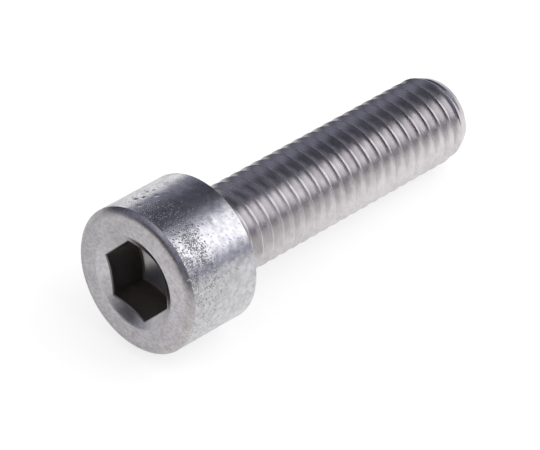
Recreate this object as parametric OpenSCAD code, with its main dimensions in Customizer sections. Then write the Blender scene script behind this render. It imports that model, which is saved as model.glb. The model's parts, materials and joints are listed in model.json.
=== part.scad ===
// Hex socket cap screw, metric coarse thread, fully threaded shank, lying at rest.
// All sizes are in millimetres. The plain shank has the thread's outer diameter.

/* [Head] */
// Diameter of the cylindrical head
head_d = 13.0; // [11:0.1:18]
// Height of the head, from its top face to its bearing face
head_h = 7.65; // [6.4:0.05:12]
// Radial width of the crowned edge round the top face
edge_w = 0.75; // [0.3:0.05:0.9]
// Depth of the crowned edge down the side of the head
edge_depth = 0.45; // [0.2:0.05:0.9]
// Bevel at the rim of the bearing face
rim_bevel = 0.12; // [0.05:0.01:0.3]

/* [Socket] */
// Width of the hex socket across its flats
socket_af = 6.14; // [4:0.02:7.5]
// Depth of the socket's corners below the top face
socket_depth = 3.75; // [2:0.05:4.5]
// Half the included angle of the socket's conical floor
floor_half_angle = 60; // [50:1:80]
// Radial width of the countersink outside the socket's corners
countersink_w = 0.8; // [0.2:0.05:0.9]
// Half the included angle of the countersink
countersink_half_angle = 70; // [45:1:75]
// Turn of the socket about the screw's axis
socket_turn = 7; // [0:1:59]

/* [Shank] */
// Outer diameter of the thread
thread_d = 7.82; // [6:0.01:9.5]
// Length of the shank, from the bearing face to the point
shank_l = 29.5; // [12:0.5:60]
// Radius of the fillet between the bearing face and the shank
neck_fillet = 0.4; // [0.1:0.05:0.6]
// Length of the chamfered point
point_l = 1.3; // [0.5:0.1:2.5]
// Amount that the chamfered point takes off the shank's radius
point_drop = 0.6; // [0.2:0.05:1]

/* [Rest] */
// Turn about its own axis at which the lying screw has come to rest
rest_turn = 215; // [0:1:359]

/* [Hidden] */
$fn = 96;
eps = 0.01;

head_r = head_d / 2;
thread_r = thread_d / 2;
point_r = thread_r - point_drop;
total_l = head_h + shank_l;

// Arc of the crowned edge: tangent to the top face, ending on the side of the head
edge_r = (edge_w * edge_w + edge_depth * edge_depth) / (2 * edge_depth);

// Socket: the corners lie on this radius, and the countersink opens outside them
corner_r = socket_af / 2 / cos(30);
mouth_r = corner_r + countersink_w;
countersink_depth = mouth_r / tan(countersink_half_angle);
floor_drop = corner_r / tan(floor_half_angle);

// At rest the screw leans on the rim of its head and on the start of its point
head_contact_z = head_h - rim_bevel;
point_contact_z = total_l - point_l;
rest_angle = atan((head_r - thread_r) / (point_contact_z - head_contact_z));
axis_height = head_contact_z * sin(rest_angle) + head_r * cos(rest_angle);

// Ends of the leaning screw along X, measured from the centre of its top face
arc_centre_r = head_r - edge_w;
x_low = -arc_centre_r * sin(rest_angle) - edge_r * (1 - cos(rest_angle));
x_high = total_l * cos(rest_angle) + point_r * sin(rest_angle);

// Half section of the head: X is the radius and Y the depth below the top face
module head_section() {
  difference() {
    polygon([
      [0, 0],
      [head_r, 0],
      [head_r, head_h - rim_bevel],
      [head_r - rim_bevel, head_h],
      [0, head_h]
    ]);
    difference() {
      translate([arc_centre_r, -eps])
        square([edge_w + eps, edge_depth + eps]);
      translate([arc_centre_r, edge_r])
        circle(r = edge_r);
    }
  }
}

// Half section of the shank, with the fillet under the head and the chamfered point
module shank_section() {
  polygon([
    [0, head_h - 1],
    [thread_r, head_h - 1],
    [thread_r, total_l - point_l],
    [point_r, total_l],
    [0, total_l]
  ]);
  difference() {
    translate([thread_r - eps, head_h - eps])
      square([neck_fillet + eps, neck_fillet + eps]);
    translate([thread_r + neck_fillet, head_h + neck_fillet])
      circle(r = neck_fillet);
  }
}

// Head and shank, turned as one blank about the Z axis with the top face at Z = 0
module blank() {
  rotate_extrude()
    union() {
      head_section();
      shank_section();
    }
}

// Forged hex socket: a hexagonal prism that ends on a conical floor
module socket() {
  intersection() {
    translate([0, 0, -1])
      rotate([0, 0, socket_turn])
        cylinder(r = corner_r, h = socket_depth + floor_drop + 2, $fn = 6);
    rotate_extrude()
      polygon([
        [0, -1],
        [corner_r + 1, -1],
        [corner_r + 1, socket_depth - 1 / tan(floor_half_angle)],
        [0, socket_depth + floor_drop]
      ]);
  }
}

// Countersink at the mouth of the socket
module countersink() {
  rotate_extrude()
    polygon([
      [0, -eps],
      [mouth_r + eps * tan(countersink_half_angle), -eps],
      [0, countersink_depth]
    ]);
}

// The whole screw, standing on its top face with the point up
module upright_screw() {
  difference() {
    blank();
    socket();
    countersink();
  }
}

// The screw laid down at rest, with its head at low X and its point at high X
module cap_screw() {
  color([0.72, 0.71, 0.73])
    translate([-(x_low + x_high) / 2, 0, axis_height])
      rotate([0, 90 + rest_angle, 0])
        rotate([0, 0, rest_turn])
          upright_screw();
}

cap_screw();
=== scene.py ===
"""Stainless hex socket cap screw lying on a pale studio floor.

The screw is one watertight surface: a forged head with its hex socket, made ring by ring, and
a rolled thread made by Geometry Nodes, joined at the neck. Sizes are in millimetres in the
screw's own frame, whose Z axis runs from the centre of the top face to the point, and are
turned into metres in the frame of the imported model.
"""

import json
import logging
import math
from dataclasses import dataclass, field
from enum import Enum, IntEnum
from typing import Any, ClassVar, Union

import bmesh
import bpy
import numpy as np
from bpy.types import ID, Material, Mesh, Node, NodeOutputs, Object
from bpy.types import NodeSocket as Socket, NodeTree as Tree
from mathutils import Euler, Matrix, Vector, noise


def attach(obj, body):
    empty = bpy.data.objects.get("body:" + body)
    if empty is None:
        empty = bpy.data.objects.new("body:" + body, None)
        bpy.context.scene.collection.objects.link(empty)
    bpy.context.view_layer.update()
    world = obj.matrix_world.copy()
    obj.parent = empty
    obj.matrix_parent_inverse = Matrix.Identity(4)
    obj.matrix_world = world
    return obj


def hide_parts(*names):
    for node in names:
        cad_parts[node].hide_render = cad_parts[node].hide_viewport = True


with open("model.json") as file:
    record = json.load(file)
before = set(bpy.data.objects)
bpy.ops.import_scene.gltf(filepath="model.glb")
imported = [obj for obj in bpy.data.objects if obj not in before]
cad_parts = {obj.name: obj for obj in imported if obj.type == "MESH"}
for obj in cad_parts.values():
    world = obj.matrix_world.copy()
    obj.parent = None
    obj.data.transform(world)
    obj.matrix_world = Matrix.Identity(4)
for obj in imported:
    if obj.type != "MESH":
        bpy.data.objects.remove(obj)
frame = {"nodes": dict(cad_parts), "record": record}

log = logging.getLogger("cap_screw")
MM = 0.001
QUARTER = math.pi / 2
NOISE_FEATURE = 0.5  # width of a Noise texture's features at a scale of 1
EVEN = (1.0, 1.0, 1.0)
Triple = tuple[float, float, float]
Step = tuple[float, float]
Inputs = dict[str | int, Any]
Size = int | float | Vector | Euler
Rings = list[tuple[np.ndarray, np.ndarray]]
INPUT_KINDS = {
    int: "NodeSocketInt",
    float: "NodeSocketFloat",
    Vector: "NodeSocketVector",
    Euler: "NodeSocketRotation",
}


class Hand(Enum):
    """Which way the thread winds."""

    RIGHT = 1
    LEFT = -1


class Zone(IntEnum):
    """A part of the screw's surface that has its own finish. The value is its material index."""

    FLOOR = 0
    WALL = 1
    COUNTERSINK = 2
    FACE = 3
    EDGE = 4
    SIDE = 5
    SHANK = 6


# ---- place of the lying screw


@dataclass(frozen=True)
class Lying:
    """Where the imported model's screw lies.

    Attributes:
        face_centre: Centre of the top face, in metres.
        axis: Unit vector from the top face to the point.
    """

    face_centre: Vector
    axis: Vector

    @classmethod
    def from_frame(cls, node: str) -> "Lying":
        """Reads the axis from the record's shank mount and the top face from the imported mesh.

        Args:
            node: Name of the screw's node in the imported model.

        Returns:
            The place of the screw.
        """
        mounts = frame["record"]["mounts"]
        shank = next(m for m in mounts if m["name"] == "shank")
        axis = Vector(shank["axis"]).normalized()
        on_axis = Vector(shank["pos_m"])
        along = [(v.co - on_axis).dot(axis) for v in frame["nodes"][node].data.vertices]
        return cls(on_axis + axis * min(along), axis)

    @property
    def turn(self) -> Euler:
        """Rotation from the screw's own frame, which stands upright, to the model's frame."""
        return Euler((0.0, QUARTER + math.asin(-self.axis.z), 0.0))

    def matrix(self) -> Matrix:
        """Takes millimetres in the screw's own frame to metres in the model's frame."""
        laid = Matrix.Translation(self.face_centre) @ self.turn.to_matrix().to_4x4()
        return laid @ Matrix.Scale(MM, 4)


def direction(azimuth: float, elevation: float) -> Vector:
    """Unit vector towards a direction given in degrees."""
    az, el = math.radians(azimuth), math.radians(elevation)
    return Vector((math.cos(el) * math.cos(az), math.cos(el) * math.sin(az), math.sin(el)))


def stand(name: str, data: ID) -> Object:
    """Makes an object of some data and puts it into the scene.

    Args:
        name: Name of the object.
        data: Its mesh, lamp or camera.

    Returns:
        The object.
    """
    made = bpy.data.objects.new(name, data)
    bpy.context.scene.collection.objects.link(made)
    return made


# ---- node trees


@dataclass(frozen=True)
class Output:
    """An output of a node, and the tree that the node is in."""

    tree: Tree
    socket: Socket


Number = Union["Signal", float]


class Signal(Output):
    """A number inside a node tree, written with the usual signs."""

    def math(self, operation: str, *others: Number) -> "Signal":
        """Adds a Math node.

        Args:
            operation: The node's operation.
            *others: Its other inputs, in order.

        Returns:
            The node's result.
        """
        inputs = dict(enumerate((self, *others)))
        return reading(self.tree, "ShaderNodeMath", inputs, operation=operation)

    def __add__(self, other: Number) -> "Signal":
        """Sum."""
        return self.math("ADD", other)

    def __sub__(self, other: Number) -> "Signal":
        """Difference."""
        return self.math("SUBTRACT", other)

    def __mul__(self, other: Number) -> "Signal":
        """Product."""
        return self.math("MULTIPLY", other)

    def __truediv__(self, other: Number) -> "Signal":
        """Quotient."""
        return self.math("DIVIDE", other)

    def at_least(self, low: Number) -> "Signal":
        """The larger of the two."""
        return self.math("MAXIMUM", low)

    def at_most(self, high: Number) -> "Signal":
        """The smaller of the two."""
        return self.math("MINIMUM", high)

    def within(self) -> "Signal":
        """This number, held between 0 and 1."""
        return self.at_least(0.0).at_most(1.0)

    def rise(self, start: Number, end: Number) -> "Signal":
        """Smooth step from 0 at start to 1 at end."""
        share = ((self - start) / (end - start)).within()
        return share * share * (share * -2.0 + 3.0)

    def fall(self, start: Number, end: Number) -> "Signal":
        """Smooth step from 1 at start to 0 at end."""
        return self.rise(start, end) * -1.0 + 1.0

    def mix(self, other: Number, share: "Signal") -> "Signal":
        """This number where share is 0, and other where it is 1."""
        return self + (self * -1.0 + other) * share

    def lift(self, least: float) -> "Signal":
        """A number from 0 to 1, squeezed to run from least to 1."""
        return self * (1.0 - least) + least

    def swing(self, reach: float) -> "Signal":
        """A noise about 0.5, made to swing from -reach to reach."""
        return (self - 0.5) * (reach * 2.0)


def feed(tree: Tree, node: Node, inputs: Inputs) -> None:
    """Links or sets a node's inputs.

    Args:
        tree: The tree that holds the node.
        node: The node.
        inputs: A signal, a socket or a value for each input, by its name or its place.
    """
    for place, given in inputs.items():
        source = given.socket if isinstance(given, Output) else given
        if isinstance(source, Socket):
            tree.links.new(source, node.inputs[place])
        else:
            node.inputs[place].default_value = source


def wire(tree: Tree, kind: str, inputs: Inputs, **options: str) -> Node:
    """Adds a node, sets its options and feeds it.

    Args:
        tree: The tree to add it to.
        kind: Type of the node.
        inputs: A signal, a socket or a value for each input that isn't left as it is.
        **options: The node's own settings.

    Returns:
        The node.
    """
    node = tree.nodes.new(kind)
    for option, value in options.items():
        setattr(node, option, value)
    feed(tree, node, inputs)
    return node


def reading(
    tree: Tree, kind: str, inputs: Inputs, output: str | int = 0, **options: str
) -> Signal:
    """Adds a node as wire does, and reads one number from it."""
    return Signal(tree, wire(tree, kind, inputs, **options).outputs[output])


class Place(Output):
    """A place or a direction inside a node tree."""

    @classmethod
    def on_object(cls, tree: Tree) -> "Place":
        """Adds Object coordinates to a tree."""
        return cls(tree, tree.nodes.new("ShaderNodeTexCoord").outputs["Object"])

    def reckon(self, operation: str, other: Any) -> NodeOutputs:
        """Adds a Vector Math node, fed with this place and another vector."""
        inputs = {0: self, 1: other}
        return wire(self.tree, "ShaderNodeVectorMath", inputs, operation=operation).outputs

    def times(self, factors: Triple) -> "Place":
        """This place, with each of its coordinates times a factor."""
        return Place(self.tree, self.reckon("MULTIPLY", factors)[0])

    def along(self, way: Vector) -> Signal:
        """How far it reaches along a direction."""
        return Signal(self.tree, self.reckon("DOT_PRODUCT", way)["Value"])

    def away_from(self, point: Triple) -> Signal:
        """Its distance from a point."""
        return Signal(self.tree, self.reckon("DISTANCE", point)["Value"])


def bare_material(name: str) -> Material:
    """Makes a material that has nodes and no shader yet.

    Args:
        name: Its name.

    Returns:
        The material.
    """
    made = bpy.data.materials.new(name)
    made.use_nodes = True
    nodes = made.node_tree.nodes
    nodes.remove(nodes["Principled BSDF"])
    return made


# ---- finishes


@dataclass(frozen=True)
class Grain:
    """A noise of one scale in the metal.

    Attributes:
        size: Size of its largest features, in millimetres.
        octaves: Octaves of finer features on them.
        step: Values between which its patches rise from 0 to 1.
    """

    size: float
    octaves: float
    step: Step = (0.0, 1.0)

    def value(self, own: Place, lay: Triple = EVEN) -> Signal:
        """Adds the noise to a tree.

        Args:
            own: Place in the screw's own frame.
            lay: Factors along X, Y and Z. One below 1 draws the features out that way.

        Returns:
            The noise, about 0.5.
        """
        scale = NOISE_FEATURE / self.size
        inputs = {"Vector": own.times(lay), "Scale": scale, "Detail": self.octaves}
        return reading(own.tree, "ShaderNodeTexNoise", inputs, "Fac")

    def patches(self, own: Place, lay: Triple = EVEN) -> Signal:
        """Adds the noise, cut to patches of 1 on a ground of 0."""
        return self.value(own, lay).rise(*self.step)


@dataclass(frozen=True)
class Pits:
    """Crowded small pits by the top face, and single round ones among them.

    Lengths are in millimetres.

    Attributes:
        depth, dullness, stain: Depth of a pit, and the roughness and darkening that it adds, which is
            dirt in the pit and painted shade in its hollow.
        reach: Distances from the top face between which the pits thin out.
        at, towards: Angle in degrees of the side where they are densest, and distances out to it.
        behind: Share of them left on the other side.
        patch, between: Where they lie denser, and the share left between those patches.
        fine, bar, brink: The noise whose peaks are the small pits, the height above which a peak
            is a pit where there are fewest, and the heights above the bar where it deepens.
        crowding: How far the bar comes down where they are densest.
        singles, spacing: Share of the places that hold a round pit, and their distance.
        certainty: How sharply a place holds a pit or none.
        warp, raggedness: What makes the round pits ragged, and how far, as a share of spacing.
        rim: Where a round pit ends, as shares of spacing.
    """

    depth: float = 0.032
    dullness: float = 0.12
    # darkening of a pit: dirt, and painted shade in its hollow
    stain_and_shade: float = 0.68
    reach: Step = (2.4, 5.2)
    at: float = -143.0
    towards: Step = (3.6, 5.8)
    behind: float = 0.5
    patch: Grain = Grain(0.9, 3.0, (0.3, 0.6))
    between: float = 0.65
    fine: Grain = Grain(0.06, 2.0)
    bar: float = 0.9
    crowding: float = 0.44
    brink: Step = (0.02, 0.07)
    singles: float = 0.6
    spacing: float = 0.2
    certainty: float = 8.0
    warp: Grain = Grain(0.12, 2.0)
    raggedness: float = 0.25
    rim: Step = (0.16, 0.42)

    def _crowd(self, own: Place) -> Signal:
        """How dense the pits are: most by the top face and at one side.

        Args:
            own: Place in the screw's own frame.

        Returns:
            0 where there are none and 1 where they are densest.
        """
        near = reading(own.tree, "ShaderNodeSeparateXYZ", {0: own}, "Z").fall(*self.reach)
        facing = own.along(direction(self.at, 0.0)).rise(*self.towards)
        return near * facing.lift(self.behind) * self.patch.patches(own).lift(self.between)

    def cut(self, own: Place) -> Signal:
        """Where the pits are.

        Args:
            own: Place in the screw's own frame.

        Returns:
            0 on the clean surface and 1 at the bottom of a pit.
        """
        crowd = self._crowd(own)
        bar = crowd * -self.crowding + self.bar
        crowded = self.fine.value(own).rise(bar + self.brink[0], bar + self.brink[1])

        places = {"Vector": own, "Scale": 1.0 / self.spacing}
        cells = wire(own.tree, "ShaderNodeTexVoronoi", places).outputs
        chance = reading(own.tree, "ShaderNodeSeparateColor", {0: cells["Color"]}, "Red")
        holds = ((crowd * self.singles - chance) * self.certainty).within()
        ragged = self.warp.value(own).swing(self.raggedness)
        away = Signal(own.tree, cells["Distance"]) + ragged
        return crowded.at_least(away.fall(*self.rim) * holds)


@dataclass(frozen=True)
class Scratches:
    """Short slanting scratches in patches.

    Attributes:
        depth, dullness, stain: Depth in millimetres, and the roughness and stain that they add.
        slant: Their turn about the screw's own Y, in radians.
        dash, dash_lay: The noise whose patches are the scratches, and what draws them out.
        patch: Where the scratches are.
    """

    depth: float = 0.006
    dullness: float = 0.0
    stain_and_shade: float = 0.5
    slant: float = 0.7
    dash: Grain = Grain(0.06, 2.0, (0.57, 0.68))
    dash_lay: Triple = (0.16, 0.5, 1.0)
    patch: Grain = Grain(0.55, 3.0, (0.4, 0.6))

    def cut(self, own: Place) -> Signal:
        """Where the scratches are.

        Args:
            own: Place in the screw's own frame.

        Returns:
            0 on the clean surface and 1 in a scratch.
        """
        turn = {"Vector": own, "Angle": self.slant}
        turned = wire(own.tree, "ShaderNodeVectorRotate", turn, rotation_type="Y_AXIS")
        slanting = Place(own.tree, turned.outputs["Vector"])
        return self.dash.patches(slanting, self.dash_lay) * self.patch.patches(own)


def spots(size: float) -> Grain:
    """Small spots of one size, in millimetres."""
    return Grain(size, 4.0, (0.36, 0.66))


@dataclass(frozen=True)
class SteelFinish:
    """Bare stainless steel, with the grain, blotches, pits and scratches that its making leaves.

    Attributes:
        name: Name of the material.
        colour, stain: Colour of the clean metal, and of its dull patches, pits and scratches; in the
            pits this darker colour is also painted shade.
        roughness, roughness_spread: Roughness, and how far it varies to each side.
        cloud, clouding: The large patches, and how far they go towards stain.
        mottle, mottling: The small spots, and how far they go towards stain.
        lay: Squeeze of the spots and the grain along the screw's own X, Y and Z.
        grain, grain_depth: The finest marks, and their depth in millimetres.
        ripple, ripple_depth: The slow unevenness, and its depth in millimetres.
        marks: The pits and the scratches.
        root_dullness, root_step: Roughness added in the roots of the thread, and the distances
            from the axis between which it ends.
    """

    name: str
    colour: Triple = (0.68, 0.67, 0.69)
    stain_and_shade: Triple = (0.25, 0.24, 0.245)
    roughness: float = 0.3
    roughness_spread: float = 0.08
    cloud: Grain = Grain(0.7, 5.0, (0.4, 0.68))
    clouding: float = 0.1
    mottle: Grain = spots(0.16)
    mottling: float = 0.12
    lay: Triple = EVEN
    grain: Grain = Grain(0.055, 3.0)
    grain_depth: float = 0.002
    ripple: Grain = Grain(1.1, 2.0)
    ripple_depth: float = 0.003
    marks: tuple[Pits | Scratches, ...] = ()
    root_dullness: float = 0.0
    root_step: Step = (3.25, 3.5)

    def material(self, lying: Lying) -> Material:
        """Builds the finish as a procedural material on the screw's own axes.

        Args:
            lying: Place of the screw, which sets the axes.

        Returns:
            The material.
        """
        made = bpy.data.materials.new(self.name)
        made.use_nodes = True
        tree = made.node_tree
        own = self._own_axes(tree, lying)
        ripple = self.ripple.value(own).swing(self.ripple_depth)
        height = self.grain.value(own, self.lay).swing(self.grain_depth) + ripple
        cloud = self.cloud.value(own)
        rough = cloud.swing(self.roughness_spread) + self.roughness
        spotted = self.mottle.patches(own, self.lay) * self.mottling
        stain_and_shade = cloud.rise(*self.cloud.step) * self.clouding + spotted
        # marks darken the colour: pits with dirt and painted shade in their hollows, scratches with
        # dirt
        for mark in self.marks:
            cut = mark.cut(own)
            height = height - cut * mark.depth
            rough = rough + cut * mark.dullness
            stain_and_shade = stain_and_shade + cut * mark.stain_and_shade
        if self.root_dullness > 0.0:
            from_axis = own.times((1.0, 1.0, 0.0)).away_from((0.0, 0.0, 0.0))
            rough = rough + from_axis.fall(*self.root_step) * self.root_dullness
        blend = {"Factor": stain_and_shade.at_most(1.0), "A": (*self.colour, 1.0), "B": (*self.stain_and_shade, 1.0)}
        colour = wire(tree, "ShaderNodeMix", blend, data_type="RGBA")
        bump = wire(tree, "ShaderNodeBump", {"Strength": 1.0, "Distance": MM, "Height": height})
        shader = {
            "Metallic": 1.0,
            "Base Color": colour.outputs["Result"],
            "Roughness": rough,
            "Normal": bump.outputs["Normal"],
        }
        feed(tree, tree.nodes["Principled BSDF"], shader)
        return made

    def _own_axes(self, tree: Tree, lying: Lying) -> Place:
        """Object coordinates turned to the screw's own frame, in millimetres.

        Args:
            tree: The material's tree.
            lying: Place of the screw.

        Returns:
            The place of each point, whose Z is the distance from the top face.
        """
        inverse = lying.matrix().inverted()
        place = {
            "Vector": Place.on_object(tree),
            "Location": inverse.to_translation(),
            "Rotation": inverse.to_euler(),
            "Scale": inverse.to_scale(),
        }
        return Place(tree, wire(tree, "ShaderNodeMapping", place).outputs["Vector"])


# ---- the screw


def circle(radius: float, z: float, columns: np.ndarray) -> tuple[np.ndarray, np.ndarray]:
    """The radius and the depth below the top face at each column, all the same."""
    return np.full_like(columns, radius), np.full_like(columns, z)


def between(start: float, end: float, count: int) -> np.ndarray:
    """As many even steps from start to end, of which the last is end."""
    return np.linspace(start, end, count + 1)[1:]


def clamp(share: float) -> float:
    """A number held between 0 and 1."""
    return min(max(share, 0.0), 1.0)


def unit_noise(point: Vector) -> float:
    """Noise from 0 to 1."""
    return 0.5 + 0.5 * noise.noise(point)


def turn_between(start: float, end: float) -> float:
    """The shorter turn from one angle to another, given in degrees, in radians."""
    return math.radians((end - start + 180.0) % 360.0 - 180.0)


@dataclass
class HexSocket:
    """The forged hexagonal socket, with its conical floor and the countersink at its mouth."""

    across_flats: float = 6.14
    corner_depth: float = 3.75
    corner_angle: float = math.radians(42.08)
    floor_half_angle: float = math.radians(60.0)
    floor_fillet: float = 0.16
    countersink_radius: float = 4.26
    countersink_slope: float = math.radians(25.0)
    countersink_shift: float = 0.128
    countersink_lean: float = math.radians(4.5)
    lean_angle: float = math.radians(-138.0)
    mouth_round: float = 0.14
    rim_round: float = 0.05
    rim_drop: float = 0.005
    floor_rows: int = 8
    wall_rows: int = 6
    round_rows: int = 3
    countersink_rows: int = 5

    @property
    def corner_radius(self) -> float:
        """Distance from the axis to the corners."""
        return self.across_flats / 2 / math.cos(math.pi / 6)

    def wall_radius(self, columns: np.ndarray) -> np.ndarray:
        """Distance from the axis to the wall at each column."""
        from_flat = (columns - self.corner_angle) % (math.pi / 3) - math.pi / 6
        return self.across_flats / 2 / np.cos(from_flat)

    def floor_z(self, radius: np.ndarray) -> np.ndarray:
        """Depth of the conical floor at a distance from the axis."""
        return self.corner_depth + (self.corner_radius - radius) / math.tan(self.floor_half_angle)

    def rim_radius(self, columns: np.ndarray) -> np.ndarray:
        """Distance from the axis to the countersink's rim, which is a little off centre."""
        return self.countersink_radius - self.countersink_shift * np.cos(columns - self.lean_angle)

    def countersink_z(self, radius: np.ndarray, columns: np.ndarray) -> np.ndarray:
        """Depth of the countersink, steeper on the side to which the punch leaned."""
        slope = self.countersink_slope + self.countersink_lean * np.cos(columns - self.lean_angle)
        return (self.rim_radius(columns) - radius) * np.tan(slope)

    def rings(self, columns: np.ndarray) -> list[tuple[Zone, Rings]]:
        """Rings from the middle of the floor to the top face.

        Args:
            columns: Angles of the surface's columns.

        Returns:
            The rings of the floor, the walls and the countersink.
        """
        wall = self.wall_radius(columns)
        inset, mouth = wall - self.floor_fillet, wall + self.mouth_round
        rim = self.rim_radius(columns)
        floor: Rings = []
        for share in between(0.0, 1.0, self.floor_rows):
            floor.append((inset * share, self.floor_z(inset * share)))
        edge, foot = self.floor_z(inset), self.floor_z(wall) - self.floor_fillet
        for turn in between(0.0, QUARTER, self.round_rows):
            near, far = 1.0 - math.sin(turn), 1.0 - math.cos(turn)
            floor.append((wall - self.floor_fillet * near, edge - (edge - foot) * far))
        walls: Rings = []
        top = self.countersink_z(wall, columns) + self.mouth_round
        for share in between(0.0, 1.0, self.wall_rows):
            walls.append((wall, foot + (top - foot) * share))
        lip = self.countersink_z(mouth, columns)
        for turn in between(0.0, QUARTER, self.round_rows):
            near, far = 1.0 - math.cos(turn), math.sin(turn)
            walls.append((wall + self.mouth_round * near, top - (top - lip) * far))
        slope: Rings = []
        for share in between(0.0, 1.0, self.countersink_rows):
            radius = mouth + (rim - self.rim_round - mouth) * share
            slope.append((radius, self.countersink_z(radius, columns)))
        slope.append((rim, np.full_like(columns, self.rim_drop)))
        return [(Zone.FLOOR, floor), (Zone.WALL, walls), (Zone.COUNTERSINK, slope)]


@dataclass(frozen=True)
class Dent:
    """A knock or a deep pit in the outside of the head.

    It has an angle round the axis in degrees, a distance z from the top face, half a length
    round the head, half a width along the axis, and a depth.
    """

    angle: float
    z: float
    long: float
    wide: float
    deep: float


@dataclass(frozen=True)
class Wear:
    """Unevenness that forging and tumbling left on the outside of the head.

    Attributes:
        wave_size, wave_depth: Size and depth of the slow unevenness.
        crumple_size, crumple_depth: Size of the finer unevenness, and its depth at its strongest.
        crumple_at, crumple_least: Angle in degrees where it is strongest, and its share opposite.
        crumple_shift: Place in the noise that it is taken from.
        skin: Distance in from the side that the dents reach.
        raggedness, ragged_scale: How uneven the dents' rims are, and in how many bumps to a
            millimetre.
        dent_rim, dent_slope, dent_end: Where a dent starts to go down, how far in from there it
            has its full depth, and where nothing is left of it, in half sizes.
        dents: The knocks and deep pits.
    """

    wave_size: float = 2.2
    wave_depth: float = 0.02
    crumple_size: float = 0.55
    crumple_depth: float = 0.03
    crumple_at: float = -88.0
    crumple_least: float = 0.35
    crumple_shift: Triple = (7.0, 3.0, 5.0)
    skin: float = 0.8
    raggedness: float = 0.3
    ragged_scale: float = 3.5
    dent_rim: float = 1.15
    dent_slope: float = 0.75
    dent_end: float = 1.4
    dents: tuple[Dent, ...] = (
        Dent(159.0, 2.05, 0.34, 0.20, 0.07),
        Dent(155.0, 2.2, 0.2, 0.14, 0.05),
        Dent(163.5, 2.6, 0.17, 0.15, 0.06),
        Dent(158.0, 3.5, 0.2, 0.2, 0.05),
        Dent(161.0, 4.0, 0.2, 0.14, 0.05),
        Dent(169.5, 3.4, 0.2, 0.15, 0.04),
        Dent(170.5, 1.35, 0.2, 0.13, 0.03),
        Dent(-118.5, 0.38, 0.12, 0.1, 0.07),
        Dent(-105.5, 3.75, 0.17, 0.16, 0.05),
        Dent(-108.0, 2.38, 0.16, 0.1, 0.04),
        Dent(-89.0, 2.45, 0.3, 0.12, 0.04),
        Dent(-70.0, 2.1, 0.55, 0.16, 0.04),
        Dent(-74.0, 3.6, 0.35, 0.14, 0.03),
        Dent(-93.0, 5.1, 0.3, 0.12, 0.025),
    )

    def depth(self, point: Vector, side: float) -> float:
        """How far the surface is pushed in at a point.

        Args:
            point: Place in the screw's own frame.
            side: Radius of the head's side.

        Returns:
            The depth, which is never below 0.
        """
        angle = math.degrees(math.atan2(point.y, point.x))
        wave = unit_noise(point / self.wave_size)
        facing = max(0.0, math.cos(turn_between(self.crumple_at, angle)))
        strong = self.crumple_least + (1.0 - self.crumple_least) * facing
        crumple = unit_noise(point / self.crumple_size + Vector(self.crumple_shift))
        deep = self.wave_depth * wave + self.crumple_depth * strong * crumple
        if math.hypot(point.x, point.y) <= side - self.skin:
            return deep
        ragged = self.raggedness * noise.noise(point * self.ragged_scale)
        for dent in self.dents:
            along = turn_between(dent.angle, angle) * side
            away = math.hypot(along / dent.long, (point.z - dent.z) / dent.wide)
            if away < self.dent_end:
                share = clamp((self.dent_rim + ragged - away) / self.dent_slope)
                deep += dent.deep * share * share * (3.0 - 2.0 * share)
        return deep


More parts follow.
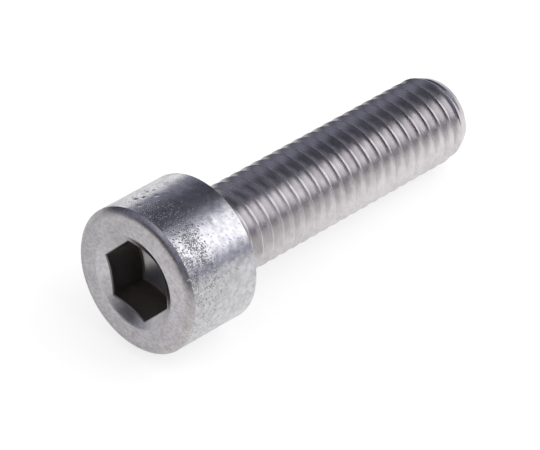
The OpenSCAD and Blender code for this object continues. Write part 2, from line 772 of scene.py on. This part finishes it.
@dataclass
class CapHead:
    """The cylindrical head, with its socket, crowned edge, side and bearing face."""

    socket: HexSocket = field(default_factory=HexSocket)
    wear: Wear = Wear()
    diameter: float = 13.0
    height: float = 7.65
    edge_width: float = 0.75
    edge_depth: float = 0.45
    edge_power: float = 2.3
    rim_bevel: float = 0.12
    neck_fillet: float = 0.4
    neck_radius: float = 3.62
    face_rows: int = 6
    edge_rows: int = 9
    side_rows: int = 51
    bearing_rows: int = 4
    fillet_rows: int = 5
    wear_in: float = 0.5
    wear_out: float = 0.6
    clean_back: float = 0.15

    @property
    def radius(self) -> float:
        """Radius of the side."""
        return self.diameter / 2

    @property
    def shank_start(self) -> float:
        """Depth at which the fillet meets the shank."""
        return self.height + self.neck_fillet

    def _back(self, columns: np.ndarray) -> Rings:
        """Rings over the bearing face and the fillet, from the side to the shank.

        Args:
            columns: Angles of the shank's columns.

        Returns:
            The rings.
        """
        rings: Rings = []
        fillet_radius = self.neck_radius + self.neck_fillet
        for radius in between(self.radius - self.rim_bevel, fillet_radius, self.bearing_rows):
            rings.append(circle(radius, self.height, columns))
        for turn in between(0.0, QUARTER, self.fillet_rows):
            radius = fillet_radius - self.neck_fillet * math.sin(turn)
            z = self.height + self.neck_fillet * (1.0 - math.cos(turn))
            rings.append(circle(radius, z, columns))
        return rings

    def rings(self, columns: np.ndarray, shank_columns: np.ndarray) -> list[tuple[Zone, Rings]]:
        """Every ring of the head in order, from the middle of the socket's floor to the neck.

        Args:
            columns: Angles of the head's columns.
            shank_columns: Angles of the shank's columns, which start on the bearing face.

        Returns:
            The rings of each zone. A zone's first faces start at the last ring before it.
        """
        outer = self.radius - self.edge_width
        rim = self.socket.rim_radius(columns) + self.socket.rim_round
        face = [
            (rim + (outer - rim) * share, np.zeros_like(columns))
            for share in np.linspace(0.0, 1.0, self.face_rows + 1)
        ]
        side = [
            circle(self.radius, z, columns)
            for z in between(self.edge_depth, self.height - self.rim_bevel, self.side_rows)
        ]
        bevel = [circle(self.radius - self.rim_bevel, self.height, columns)]
        edge = [
            circle(outer + self.edge_width * share, self.edge_depth * share**self.edge_power, columns)
            for share in between(0.0, 1.0, self.edge_rows)
        ]
        return self.socket.rings(columns) + [
            (Zone.FACE, face),
            (Zone.EDGE, edge),
            (Zone.SIDE, side + bevel + self._back(shank_columns)),
        ]

    def mesh(self, columns: np.ndarray, lying: Lying) -> Mesh:
        """Builds the head, open at the neck, with two columns to each of the shank's.

        Args:
            columns: Angles of the shank's columns.
            lying: Place of the screw.

        Returns:
            The mesh, in metres in the model's frame.
        """
        fine = columns[0] + np.arange(2 * len(columns)) * (math.pi / len(columns))
        points: list[Triple] = [(0.0, 0.0, float(self.socket.floor_z(np.zeros(1))[0]))]
        faces: list[tuple[int, ...]] = []
        zones: list[int] = []
        before = 1
        for zone, rings in self.rings(fine, columns):
            for radius, z in rings:
                angles = fine if len(radius) == len(fine) else columns
                strip = self._strip(len(points) - before, before, len(radius))
                ring = np.stack((radius * np.cos(angles), radius * np.sin(angles), z), axis=1)
                points += [tuple(point) for point in ring.tolist()]
                faces += strip
                zones += [int(zone)] * len(strip)
                before = len(radius)
        made = bpy.data.meshes.new("head")
        made.from_pydata(points, [], faces)
        self._wear_down(made)
        made.transform(lying.matrix())
        made.polygons.foreach_set("material_index", zones)
        made.update()
        return made

    def _strip(self, start: int, before: int, count: int) -> list[tuple[int, ...]]:
        """Faces between two rings.

        Args:
            start: First point of the ring before.
            before: Points in the ring before: 1, as many as in this ring, or twice as many.
            count: Points in this ring.

        Returns:
            The faces, which point outwards.
        """
        first = start + before
        pairs = [(i, (i + 1) % count) for i in range(count)]
        if before == 1:
            return [(start, first + j, first + i) for i, j in pairs]
        if before == count:
            return [(start + i, start + j, first + j, first + i) for i, j in pairs]
        strip: list[tuple[int, ...]] = []
        for i, j in pairs:
            a, b, c = start + 2 * i, start + 2 * i + 1, start + 2 * j
            strip += [(a, b, first + i), (b, c, first + j, first + i)]
        return strip

    def _wear_down(self, mesh: Mesh) -> None:
        """Presses the wear into the top face and the side, and leaves the socket and the neck.

        Args:
            mesh: The head, in millimetres in the screw's own frame.
        """
        mesh.update()
        normals = [v.vector.copy() for v in mesh.vertex_normals]
        for vertex, normal in zip(mesh.vertices, normals):
            point = vertex.co
            from_socket = math.hypot(point.x, point.y) - self.socket.countersink_radius
            from_back = self.height - self.clean_back - point.z
            share = clamp(from_socket / self.wear_in) * clamp(from_back / self.wear_out)
            if share > 0.0:
                vertex.co = point - normal * (self.wear.depth(point, self.radius) * share)


@dataclass
class RolledThread:
    """The rolled thread, from the neck under the head to the chamfered point."""

    pitch: float = 1.25
    crest_radius: float = 3.91
    depth: float = 0.73
    crest_flat: float = 0.085
    crest_round: float = 0.07
    root_round: float = 0.1
    flank_half_angle: float = math.radians(30.0)
    crest_z: float = 1.0379
    crest_angle: float = math.radians(-117.67)
    hand: Hand = Hand.RIGHT
    end: float = 37.15
    run_in: float = 1.0
    point_length: float = 1.3
    point_radius: float = 3.31
    point_round: float = 0.25
    fade_length: float = 1.6
    rows_per_turn: int = 14
    cap_turns: float = 0.75
    row_gather: float = 0.5
    weld: float = 0.0015
    # fields that the tree has as inputs under their own names
    given: ClassVar[str] = (
        "pitch crest_radius crest_flat crest_round root_round row_gather "
        "run_in end point_length point_radius point_round fade_length"
    )

    def sizes(self, head: CapHead, columns: np.ndarray, lying: Lying) -> dict[str, Size]:
        """Values for the tree's named inputs.

        Args:
            head: The head that the thread starts from.
            columns: Angles of the surface's columns.
            lying: Place of the screw.

        Returns:
            A value for each input of the tree.
        """
        start_angle = float(columns[0])
        offset = self.hand.value * (start_angle - self.crest_angle) / (2 * math.pi)
        first = math.floor((head.shank_start - self.crest_z) / self.pitch - offset) - 1
        first_row_z = self.crest_z + self.pitch * (first + offset)
        turns = math.ceil((self.end - first_row_z) / self.pitch + self.cap_turns)
        sizes: dict[str, Size] = {
            name.replace("_", " ").title(): getattr(self, name) for name in self.given.split()
        }
        return sizes | {
            "Root Radius": self.crest_radius - self.depth,
            "Flank Slope": 1.0 / math.tan(self.flank_half_angle),
            "First Row Height": first_row_z,
            "First Angle": start_angle,
            "Turns": float(turns),
            "Rows": turns * self.rows_per_turn + 1,
            "Columns": len(columns) + 1,
            "Start": head.shank_start,
            "Neck Radius": head.neck_radius,
            "Cap Height": self.cap_turns * self.pitch,
            "Place": lying.face_centre,
            "Turn": lying.turn,
        }

    def tree(self, sizes: dict[str, Size], finish: Material) -> tuple[Tree, dict[str, str]]:
        """Builds the Geometry Nodes tree that adds the thread to an open head.

        Args:
            sizes: A value for each input, whose type gives the input's.
            finish: Material of the shank.

        Returns:
            The tree, and the identifier of each of its inputs by name.
        """
        tree = bpy.data.node_groups.new("Rolled thread", "GeometryNodeTree")
        face = tree.interface
        face.new_socket("Geometry", in_out="INPUT", socket_type="NodeSocketGeometry")
        found: dict[str, str] = {}
        for name, value in sizes.items():
            kind = INPUT_KINDS[type(value)]
            found[name] = face.new_socket(name, in_out="INPUT", socket_type=kind).identifier
        face.new_socket("Geometry", in_out="OUTPUT", socket_type="NodeSocketGeometry")
        given = tree.nodes.new("NodeGroupInput").outputs
        z, radius, angle = self._surface(tree, given)

        counts = {"Vertices X": given["Columns"], "Vertices Y": given["Rows"]}
        grid = wire(tree, "GeometryNodeMeshGrid", counts)
        across = [radius * angle.math(part) * MM for part in ("COSINE", "SINE")]
        position = wire(tree, "ShaderNodeCombineXYZ", dict(enumerate((*across, z * MM)))).outputs[0]
        bent = {"Geometry": grid.outputs["Mesh"], "Position": position}
        bend = wire(tree, "GeometryNodeSetPosition", bent)
        place = {0: bend.outputs[0], "Translation": given["Place"], "Rotation": given["Turn"]}
        laid = wire(tree, "GeometryNodeTransform", place)
        dressed = {"Geometry": laid.outputs[0], "Material": finish}
        steel = wire(tree, "GeometryNodeSetMaterial", dressed)
        joined = wire(tree, "GeometryNodeJoinGeometry", {0: steel.outputs[0]})
        tree.links.new(given["Geometry"], joined.inputs[0])
        seam = {"Geometry": joined.outputs[0], "Distance": self.weld * MM}
        whole = wire(tree, "GeometryNodeMergeByDistance", seam)
        real = wire(tree, "GeometryNodeRealizeInstances", {0: whole.outputs[0]})
        wire(tree, "NodeGroupOutput", {0: real.outputs[0]})
        return tree, found

    def _surface(self, tree: Tree, given: NodeOutputs) -> tuple[Signal, Signal, Signal]:
        """Bends a flat grid, one unit wide and centred, to the thread.

        Its X goes once round the screw, and its Y climbs along it.

        Args:
            tree: The thread's tree.
            given: The outputs of its input node.

        Returns:
            The depth below the top face, the distance from the axis and the angle of each point.
        """

        def size(name: str) -> Signal:
            """The number that an input gives."""
            return Signal(tree, given[name])

        pitch, crest, start, end = (size(n) for n in ("Pitch", "Crest Radius", "Start", "End"))
        first = size("First Row Height")
        flat = wire(tree, "GeometryNodeInputPosition", {})
        parts = wire(tree, "ShaderNodeSeparateXYZ", {0: flat.outputs[0]})
        around = Signal(tree, parts.outputs["X"]) + 0.5
        along = (Signal(tree, parts.outputs["Y"]) + 0.5) * size("Turns")

        # rows gather at the crests and the roots, where the surface bends
        wave = 4 * math.pi
        along = along - (along * wave).math("SINE") * size("Row Gather") / wave
        angle = around * (2 * math.pi * self.hand.value) + size("First Angle")
        climb = first + (along + around) * pitch
        z = climb.at_least(start).at_most(end)
        phase = (z - first) / pitch - around
        off_crest = phase.math("PINGPONG", 0.5) * pitch

        flank = crest + size("Flank Slope") * (size("Crest Flat") / 2.0 - off_crest)
        profile = flank.math("SMOOTH_MAX", size("Root Radius"), size("Root Round"))
        profile = profile.math("SMOOTH_MIN", crest, size("Crest Round"))
        profile = size("Neck Radius").mix(profile, z.rise(start, start + size("Run In")))
        profile = profile.mix(crest, z.rise(end - size("Fade Length"), end))
        slope = (crest - size("Point Radius")) / size("Point Length")
        cone = size("Point Radius") + (end - z) * slope
        profile = profile.math("SMOOTH_MIN", cone, size("Point Round"))

        # the last rows close the flat end, and draw in to its middle
        inward = ((climb - end) / size("Cap Height")).within()
        return z, profile * (inward * -1.0 + 1.0), angle


@dataclass
class CapScrew:
    """The whole screw, one surface."""

    lying: Lying
    head: CapHead = field(default_factory=CapHead)
    thread: RolledThread = field(default_factory=RolledThread)
    columns: int = 168
    sharp: float = math.radians(24.0)

    def finishes(self) -> dict[Zone, SteelFinish]:
        """Sets the finish of each zone.

        Returns:
            The finishes, by zone.
        """
        return {
            Zone.FLOOR: SteelFinish("socket_floor", colour=(0.56, 0.53, 0.51)),
            # Painted shade: the socket's walls are coloured far darker than the other steel, standing
            # for the shade deep in the socket.
            Zone.WALL: SteelFinish(
                "socket_wall_painted_shade", colour=(0.26, 0.245, 0.23), stain_and_shade=(0.12, 0.11, 0.1), roughness=0.38
            ),
            Zone.COUNTERSINK: SteelFinish(
                "pressed_countersink", colour=(0.67, 0.65, 0.68), roughness=0.2, mottling=0.25
            ),
            Zone.FACE: SteelFinish(
                "satin_face", colour=(0.73, 0.7, 0.73), roughness=0.34,
                clouding=0.15, mottle=spots(0.12), mottling=0.3, lay=(1.0, 0.6, 1.0),
            ),
            Zone.EDGE: SteelFinish(
                "worn_edge", colour=(0.69, 0.655, 0.67), roughness=0.37,
                clouding=0.15, mottle=spots(0.1), mottling=0.35,
            ),
            Zone.SIDE: SteelFinish(
                "tumbled_side", roughness=0.25, clouding=0.12,
                mottle=spots(0.22), mottling=0.3, marks=(Pits(), Scratches()),
            ),
            Zone.SHANK: SteelFinish(
                "rolled_thread", colour=(0.675, 0.645, 0.655), roughness=0.25,
                clouding=0.08, mottling=0.14, lay=(0.4, 0.4, 1.0), ripple_depth=0.008,
                root_dullness=0.07,
            ),
        }

    def build(self) -> Object:
        """Makes the screw and dresses it.

        Returns:
            The finished object, a plain mesh at the origin.
        """
        first = self.head.socket.corner_angle
        columns = first + np.arange(self.columns) * (2 * math.pi / self.columns)
        steels = {zone: finish.material(self.lying) for zone, finish in self.finishes().items()}
        draft = stand("head_draft", self.head.mesh(columns, self.lying))
        for zone in Zone:
            if zone is not Zone.SHANK:
                draft.data.materials.append(steels[zone])
        sizes = self.thread.sizes(self.head, columns, self.lying)
        grow = draft.modifiers.new("Rolled thread", "NODES")
        grow.node_group, names = self.thread.tree(sizes, steels[Zone.SHANK])
        for name, value in sizes.items():
            grow[names[name]] = value if isinstance(value, (int, float)) else tuple(value)
        graph = bpy.context.evaluated_depsgraph_get()
        mesh = bpy.data.meshes.new_from_object(draft.evaluated_get(graph))
        bpy.data.objects.remove(draft)
        mesh.name = "cap_screw_surface"
        self._sort_materials(mesh, steels)
        mesh.polygons.foreach_set("use_smooth", [True] * len(mesh.polygons))
        mesh.set_sharp_from_angle(angle=self.sharp)
        return stand("cap_screw_steel", mesh)

    def _sort_materials(self, mesh: Mesh, steels: dict[Zone, Material]) -> None:
        """Puts the materials in the order of the zones.

        Args:
            mesh: The joined surface.
            steels: The material of each zone.
        """
        place = {steel: int(zone) for zone, steel in steels.items()}
        new = [place.get(steel, int(Zone.SHANK)) for steel in mesh.materials]
        old = np.empty(len(mesh.polygons), dtype=np.int32)
        mesh.polygons.foreach_get("material_index", old)
        mesh.materials.clear()
        for zone in Zone:
            mesh.materials.append(steels[zone])
        mesh.polygons.foreach_set("material_index", np.asarray(new, dtype=np.int32)[old])


# ---- studio


@dataclass(frozen=True)
class Panel:
    """A round patch of the tent that is brighter or darker than the rest.

    Angles are seen from the screw, in degrees: azimuth from +X and elevation from level. It has
    its full shade, where 1 is white, up to full_to from its middle, and is gone by gone_by.
    """

    azimuth: float
    elevation: float
    full_to: float
    gone_by: float
    shade: float


@dataclass(frozen=True)
class Tent:
    """A dim tent that only the metal sees, so that its highlights stand out from the dark.

    Attributes:
        shade: Brightness of the plain tent, where 1 is white.
        panels: Its brighter and darker patches, each laid over those before it.
        cool, whitening: Colour of its dim parts, and brightness between which it turns to white.
        radius, skirt: Its distance from the screw and its reach below the floor, in metres.
        hoops: Rows of its mesh from pole to pole.
    """

    shade: float = 0.26
    panels: tuple[Panel, ...] = (
        Panel(58.0, 63.0, 31.0, 36.0, 0.055),
        Panel(137.0, 73.0, 9.0, 18.0, 0.55),
        Panel(-50.0, 10.0, 5.0, 13.0, 0.42),
        Panel(96.0, 8.0, 19.0, 36.0, 0.02),
        Panel(176.0, 0.0, 26.0, 38.0, 0.02),
        Panel(161.0, 24.0, 11.0, 19.0, 0.06),
        Panel(-130.0, 11.0, 12.0, 20.0, 0.03),
        Panel(179.0, 56.0, 9.0, 17.0, 0.8),
        Panel(50.0, 1.0, 5.5, 12.0, 1.45),
    )
    cool: Triple = (0.9, 0.93, 1.2)
    whitening: Step = (0.3, 1.0)
    radius: float = 1.3
    skirt: float = 0.05
    hoops: int = 48

    def build(self) -> None:
        """Makes the tent, a hemisphere over the floor."""
        mesh = bpy.data.meshes.new("tent")
        dome = bmesh.new()
        rows = self.hoops
        bmesh.ops.create_uvsphere(dome, u_segments=2 * rows, v_segments=rows, radius=self.radius)
        below = [v for v in dome.verts if v.co.z < -self.skirt]
        bmesh.ops.delete(dome, geom=below, context="VERTS")
        dome.to_mesh(mesh)
        dome.free()
        mesh.materials.append(self._cloth())
        tent = stand("tent", mesh)
        for ray in ("camera", "diffuse", "transmission", "volume_scatter", "shadow"):
            setattr(tent, f"visible_{ray}", False)

    def _cloth(self) -> Material:
        """Makes the tent's material, with its panels.

        Returns:
            The material.
        """
        made = bare_material("tent")
        tree = made.node_tree
        inputs = {0: Place.on_object(tree)}
        unit = wire(tree, "ShaderNodeVectorMath", inputs, operation="NORMALIZE")
        towards = Place(tree, unit.outputs[0])
        base = tree.nodes.new("ShaderNodeValue").outputs[0]
        base.default_value = self.shade
        shade = Signal(tree, base)
        for panel in self.panels:
            middle = direction(panel.azimuth, panel.elevation)
            away = towards.along(middle).at_most(1.0).math("ARCCOSINE")
            share = away.fall(math.radians(panel.full_to), math.radians(panel.gone_by))
            shade = shade.mix(panel.shade, share)
        whiteness = shade.rise(*self.whitening)
        blend = {"Factor": whiteness, "A": (*self.cool, 1.0), "B": (1.0, 1.0, 1.0, 1.0)}
        colour = wire(tree, "ShaderNodeMix", blend, data_type="RGBA").outputs["Result"]
        glow = wire(tree, "ShaderNodeEmission", {"Color": colour, "Strength": shade})
        feed(tree, tree.nodes["Material Output"], {"Surface": glow.outputs[0]})
        return made


@dataclass(frozen=True)
class SoftBox:
    """A soft box that faces the screw.

    Angles are seen from the screw, in degrees: azimuth from +X, elevation from level, and the
    width and height that it spans. The distance away is in metres, and a radiance of 1 is white.
    """

    name: str
    azimuth: float
    elevation: float
    width: float
    height: float
    radiance: float
    away: float = 0.9

    def build(self) -> None:
        """Makes the lamp."""
        towards = direction(self.azimuth, self.elevation)
        lamp = bpy.data.lights.new(self.name, "AREA")
        lamp.shape = "RECTANGLE"
        lamp.size = 2 * self.away * math.tan(math.radians(self.width / 2))
        lamp.size_y = 2 * self.away * math.tan(math.radians(self.height / 2))
        lamp.energy = self.radiance * math.pi * lamp.size * lamp.size_y
        made = stand(self.name, lamp)
        made.location = towards * self.away
        made.rotation_euler = towards.to_track_quat("Z", "Y").to_euler()


@dataclass(frozen=True)
class Pool:
    """A round patch of the floor that metal sees brighter or darker.

    Lengths are in metres. It adds its glow in the middle, where 1 is white, and nothing from
    its radius on, and long is its length along X over its width.
    """

    x: float
    y: float
    radius: float
    glow: float
    long: float = 1.0

    def light(self, place: Place) -> Signal:
        """The brightness that it adds at a place on the floor."""
        away = place.times((1.0 / self.long, 1.0, 1.0)).away_from((self.x / self.long, self.y, 0.0))
        return away.fall(0.0, self.radius) * self.glow


@dataclass
class Studio:
    """A plain pale floor, a soft box, a tent and the camera.

    Lengths are in metres, apart from the lens's and the sensor's, which are in millimetres.
    """

    floor_half: float = 3.0
    floor_colour: Triple = (0.45, 0.45, 0.45)
    floor_glow: float = 0.66
    glow_in_metal: float = 0.62
    fade_azimuth: float = 25.0
    fade: Step = (-0.15, 0.12)
    pools: tuple[Pool, ...] = (
        Pool(0.005, -0.028, 0.075, 0.2),
        Pool(0.004, -0.0065, 0.0115, 0.22, 3.0),
        Pool(-0.024, 0.012, 0.022, -0.13),
        Pool(-0.032, 0.006, 0.012, 0.22),
        Pool(-0.09, 0.065, 0.06, -0.3),
        Pool(-0.085, -0.012, 0.045, 0.3),
    )
    world_light: float = 0.72
    camera_at: Triple = (-0.197743, -0.184111, 0.219046)
    heading: float = math.radians(43.300)
    look_down: float = math.radians(38.724)
    lens: float = 275.47
    sensor: float = 36.0
    box: SoftBox = SoftBox(
        "soft_box", azimuth=-57.5, elevation=43.0, width=51.5, height=51.0, radiance=1.5
    )
    tent: Tent = Tent()

    def _ray(self, tree: Tree, kind: str) -> Signal:
        """1 for rays of one kind, else 0."""
        return reading(tree, "ShaderNodeLightPath", {}, f"Is {kind} Ray")

    def _seen(self, tree: Tree) -> Signal:
        """1 for the rays that see the background, from the camera, off metal or through glass."""
        glossy, through = self._ray(tree, "Glossy"), self._ray(tree, "Transmission")
        return self._ray(tree, "Camera").at_least(glossy).at_least(through)

    def floor(self) -> None:
        """Makes the pale floor."""
        s = self.floor_half
        mesh = bpy.data.meshes.new("floor")
        mesh.from_pydata([(-s, -s, 0), (s, -s, 0), (s, s, 0), (-s, s, 0)], [], [(0, 1, 2, 3)])
        made = bare_material("pale_floor")
        tree = made.node_tree
        plain = self._seen(tree) * self.floor_glow
        strength = plain.mix(self._floor_in_metal(tree), self._ray(tree, "Glossy"))
        matt = wire(tree, "ShaderNodeBsdfDiffuse", {"Color": (*self.floor_colour, 1.0)})
        glow = wire(tree, "ShaderNodeEmission", {"Strength": strength})
        both = wire(tree, "ShaderNodeAddShader", {0: matt.outputs[0], 1: glow.outputs[0]})
        feed(tree, tree.nodes["Material Output"], {"Surface": both.outputs[0]})
        mesh.materials.append(made)
        stand("floor", mesh)

    def _floor_in_metal(self, tree: Tree) -> Signal:
        """The floor's glow as metal sees it, which fades to one side and has the pools in it.

        Args:
            tree: The floor's tree.

        Returns:
            The glow.
        """
        place = Place.on_object(tree)
        side = place.along(direction(self.fade_azimuth, 0.0))
        glow = side.rise(*self.fade) * self.glow_in_metal
        for pool in self.pools:
            glow = glow + pool.light(place)
        return glow.at_least(0.0)

    def world(self) -> None:
        """White where it is seen, and a plain soft light on everything."""
        world = bpy.data.worlds.new("studio")
        bpy.context.scene.world = world
        world.use_nodes = True
        tree = world.node_tree
        strength = self._seen(tree).lift(self.world_light)
        feed(tree, tree.nodes["Background"], {"Color": (1.0, 1.0, 1.0, 1.0), "Strength": strength})

    def camera(self) -> None:
        """Makes the camera."""
        lens = bpy.data.cameras.new("camera")
        lens.lens = self.lens
        lens.sensor_width = self.sensor
        lens.sensor_fit = "HORIZONTAL"
        made = stand("camera", lens)
        made.location = self.camera_at
        made.rotation_euler = (math.pi / 2 - self.look_down, 0.0, self.heading - math.pi / 2)
        bpy.context.scene.camera = made

    def build(self) -> None:
        """Sets up the floor, the light and the camera."""
        self.floor()
        self.world()
        self.camera()
        self.box.build()
        self.tent.build()
        bpy.context.scene.view_settings.view_transform = "Standard"


def main() -> None:
    """Builds the studio and the screw."""
    logging.basicConfig(level=logging.INFO, format="%(name)s: %(message)s")
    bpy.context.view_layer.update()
    studio = Studio()
    studio.build()
    log.info("studio ready")
    screw = CapScrew(Lying.from_frame("cap_screw"))
    piece = screw.build()
    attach(piece, "root")
    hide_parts("cap_screw")
    log.info("%s: %d faces", piece.name, len(piece.data.polygons))


if __name__ == "__main__":
    main()
